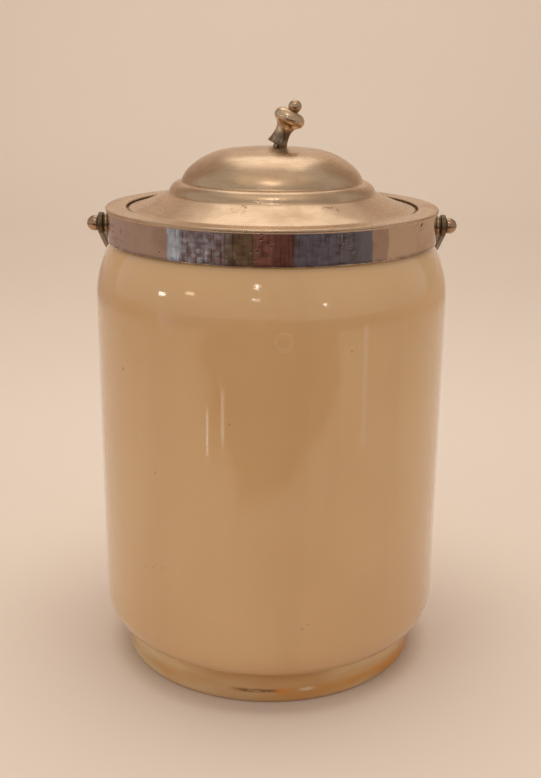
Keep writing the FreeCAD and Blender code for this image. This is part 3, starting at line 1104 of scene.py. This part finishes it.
def card(name, centre, width, height, finish):
    """A card that faces the jar and that only reflections see."""
    mesh = bpy.data.meshes.new(name)
    w, h = width / 2, height / 2
    mesh.from_pydata([(-w, 0, -h), (w, 0, -h), (w, 0, h), (-w, 0, h)], [], [(0, 1, 2, 3)])
    mesh.materials.append(finish)
    made = bpy.data.objects.new(name, mesh)
    made.location = centre
    facing = Vector(CARD_TARGET) - Vector(centre)
    made.rotation_euler = facing.to_track_quat("Y", "Z").to_euler()
    reflected_only(made)


def strip(name, start, stop, inner, outer, finish):
    """A strip round the jar's axis that only reflections see, from one
    azimuth to another. inner and outer are (radius, height) of its edges.
    Azimuth 0 is the front, positive to the right."""
    steps = 72
    turns = [math.radians(start + (stop - start) * i / steps) for i in range(steps + 1)]
    points = [(r * math.sin(t), -r * math.cos(t), z) for t in turns for r, z in (inner, outer)]
    faces = [(2 * i, 2 * i + 1, 2 * i + 3, 2 * i + 2) for i in range(steps)]
    mesh = bpy.data.meshes.new(name)
    mesh.from_pydata(points, [], faces)
    mesh.materials.append(finish)
    reflected_only(bpy.data.objects.new(name, mesh))


print("cards face", CARD_TARGET)

# %% [markdown]
# ## The room in the band
#
# The band is a mirror that is bent into a ring, so it shows half the room
# squeezed sideways. Only its order of light and dark can be made out: a pale
# window, then a stretch of brown, olive, red and blue-grey, crossed by short
# dashes and thin threads. A ring of tints at half a metre gives that order,
# though not the same fine pattern. It fades out at its upper and lower edge,
# so the glass shows no hard line.

# %% The room's ring
ROOM_START = (176, 148, 134)
ROOM = (
    (-70, (200, 212, 232)), (-60, (124, 96, 92)), (-29, (112, 92, 70)), (-11, (136, 92, 80)),
    (0, (112, 74, 66)), (14, (106, 101, 112)), (40, (112, 106, 112)), (67, (168, 138, 120)),
    (80, (196, 164, 138)),
)


ROOM_RADIUS = 0.5
ROOM_HEIGHTS = (0.02, 0.06, 0.12, 0.15)


def room_finish():
    """The room as a ring of tints, each starting at an azimuth in degrees,
    with dark and light streaks over them."""
    f = glow_finish("room", 1.0)
    place = f.place()
    x, y, z = f.parts(place)
    azimuth = x.maths("ARCTAN2", y * -1.0) * math.degrees(1)
    blocks = f.noise(f.vector(azimuth * 0.2, z * 60.0, 0.0), 1.0, 3.0)
    lines = f.noise(f.vector(azimuth * 0.1, z * 480.0, 3.0), 1.0, 2.0)
    dashes = f.noise(f.vector(azimuth * 0.2, z * 520.0, 7.0), 1.0, 2.0)
    threads = f.noise(f.vector(azimuth * 0.8, z * 24.0, 11.0), 1.0, 2.0)
    shifted = azimuth + (blocks - 0.5) * 5.0
    tint = colour(*ROOM_START)
    for start, shade in ROOM:
        tint = f.mix(shifted.between(start - 0.8, start + 0.8), tint, colour(*shade))
    middle = azimuth.window(-73.0, -65.0, 50.0, 62.0)
    left = azimuth.between(-18.0, -45.0) * middle
    tint = f.mix(dashes.between(0.48, 0.56) * left * 0.75, tint, colour(196, 208, 226))
    tint = f.mix(threads.between(0.54, 0.62) * middle * 0.5, tint, colour(54, 38, 34))
    tint = f.mix(lines.between(0.5, 0.6) * middle * 0.7, tint, colour(60, 40, 36))
    f.feed("Emission Color", tint)
    f.feed("Alpha", z.window(*ROOM_HEIGHTS))
    return f.material


strip("room", -150, 150, (ROOM_RADIUS, 0.01), (ROOM_RADIUS, 0.16), room_finish())
print("room", len(ROOM) + 1, "tints")


# %% [markdown]
# ## The dark shape in the glass
#
# The middle of the glass is darker, as if the floor just in front of the jar
# were in shade. A lamp could be kept off the floor, but then the picture's
# foreground would go dark too. So an oval flag lies just above the floor and
# only reflections see it. Its edge is uneven and soft.

# %% The flag
FLAG_OVAL = (0.44, 0.275)
FLAG_CENTRE = 0.5


def flag_finish():
    """Dark, and fading out to nothing at an oval edge."""
    f = glow_finish("flag", 1.0)
    f.shader.inputs["Emission Color"].default_value = colour(92, 72, 60)
    x, y, z = f.parts(f.place())
    across = x / FLAG_OVAL[0]
    along = (y + FLAG_CENTRE) / FLAG_OVAL[1]
    oval = (across * across + along * along).maths("SQRT")
    wobble = f.noise(f.vector(x, y, 0.0), 9.0, 2.0) * 0.5
    f.feed("Alpha", (oval + wobble).between(1.25, 1.0))
    return f.material


strip("flag", -60, 60, (0.2, 0.002), (0.9, 0.002), flag_finish())
print("flag", FLAG_OVAL, "m")

# %% [markdown]
# ## Small lights and the ceiling
#
# The glass is dotted with small lights: windows and lamps in its shoulder,
# and two upright streaks and a faint one lower down, where something bright
# stands near. Each is a small card, placed by following the view from the
# camera to the mark and on to where it comes from. The large cards above
# give the lid its soft bands of light.

# %% Small lights and the ceiling
DAYLIGHT = (1.0, 0.95, 0.88, 1.0)
WARM = (1.0, 0.9, 0.78, 1.0)
LAMPLIGHT = (1.0, 0.82, 0.5, 1.0)
SKY = (0.9, 0.95, 1.0, 1.0)
SMALL_WINDOW = glow("small window", DAYLIGHT, 10.0)
THIN_LIGHT = glow("thin light", DAYLIGHT, 4.0)
CARDS = (
    ("spot_left", (-0.178, -1.0, 0.77), 0.05, 0.12, SMALL_WINDOW),
    ("spot_low", (-0.178, -1.0, 0.5), 0.07, 0.03, SMALL_WINDOW),
    ("spot_right", (0.583, -0.884, 0.38), 0.04, 0.05, SMALL_WINDOW),
    ("spot_window", (-0.995, -0.329, 0.36), 0.1, 0.05, SMALL_WINDOW),
    ("spot_lamp", (-0.829, -0.652, 0.48), 0.1, 0.05, glow("small lamp", LAMPLIGHT, 6.0)),
    ("streak_left", (-0.185, -0.249, 0.016), 0.004, 0.026, THIN_LIGHT),
    ("streak_middle", (-0.145, -0.276, 0.026), 0.004, 0.03, THIN_LIGHT),
    ("streak_right", (0.252, -0.172, 0.05), 0.014, 0.08, glow("faint light", SKY, 0.9)),
    ("skylight", (0, 0.477, 0.93), 0.6, 0.6, glow("skylight", DAYLIGHT, 1.5)),
    ("ceiling", (0, -0.3, 1.15), 1.3, 0.8, glow("ceiling", WARM, 0.82)),
    ("ceiling_lamp", (-0.02, -0.5, 0.95), 0.16, 0.1, glow("ceiling lamp", DAYLIGHT, 8.0)),
)

for name, centre, width, height, finish in CARDS:
    card(name, centre, width, height, finish)
print(len(CARDS), "cards")


# %% [markdown]
# ## The lamps
#
# The light is plain and soft: a large lamp above, one on each side in front,
# one that washes the backdrop, and a little from all round. The lamps are
# neutral, and their strength was set by the tones of the picture's floor and
# glass. Reflections don't see them, because the cards are there for that.

# %% Lamps
def lamp(name, place, target, size, power):
    """A soft rectangular lamp that looks at a target."""
    data = bpy.data.lights.new(name, "AREA")
    data.shape = "RECTANGLE"
    data.size, data.size_y = size
    data.energy = power
    made = bpy.data.objects.new(name, data)
    made.location = place
    made.rotation_euler = (Vector(target) - Vector(place)).to_track_quat("-Z", "Y").to_euler()
    made.visible_glossy = False
    scene.collection.objects.link(made)


MIDDLE = (0, 0, 0.1)
LAMPS = (
    ("overhead", (0, 0.08, 0.8), MIDDLE, (0.8, 0.5), 4.1),
    ("backdrop_wash", (0, 0.9, 1.1), (0, 1.75, 0.45), (1.8, 0.3), 6.4),
    ("fill_left", (-1.1, -1.0, 0.9), MIDDLE, (0.8, 0.8), 4.0),
    ("fill_right", (1.1, -0.9, 0.8), MIDDLE, (0.8, 0.8), 2.5),
)
ALL_ROUND = 0.53

for name, place, target, size, power in LAMPS:
    lamp(name, place, target, size, power)

world = bpy.data.worlds.new("studio")
scene.world = world
world.use_nodes = True
background = world.node_tree.nodes["Background"]
background.inputs["Color"].default_value = colour(250, 244, 238)
background.inputs["Strength"].default_value = ALL_ROUND
print(len(LAMPS), "lamps,", ALL_ROUND, "from all round")
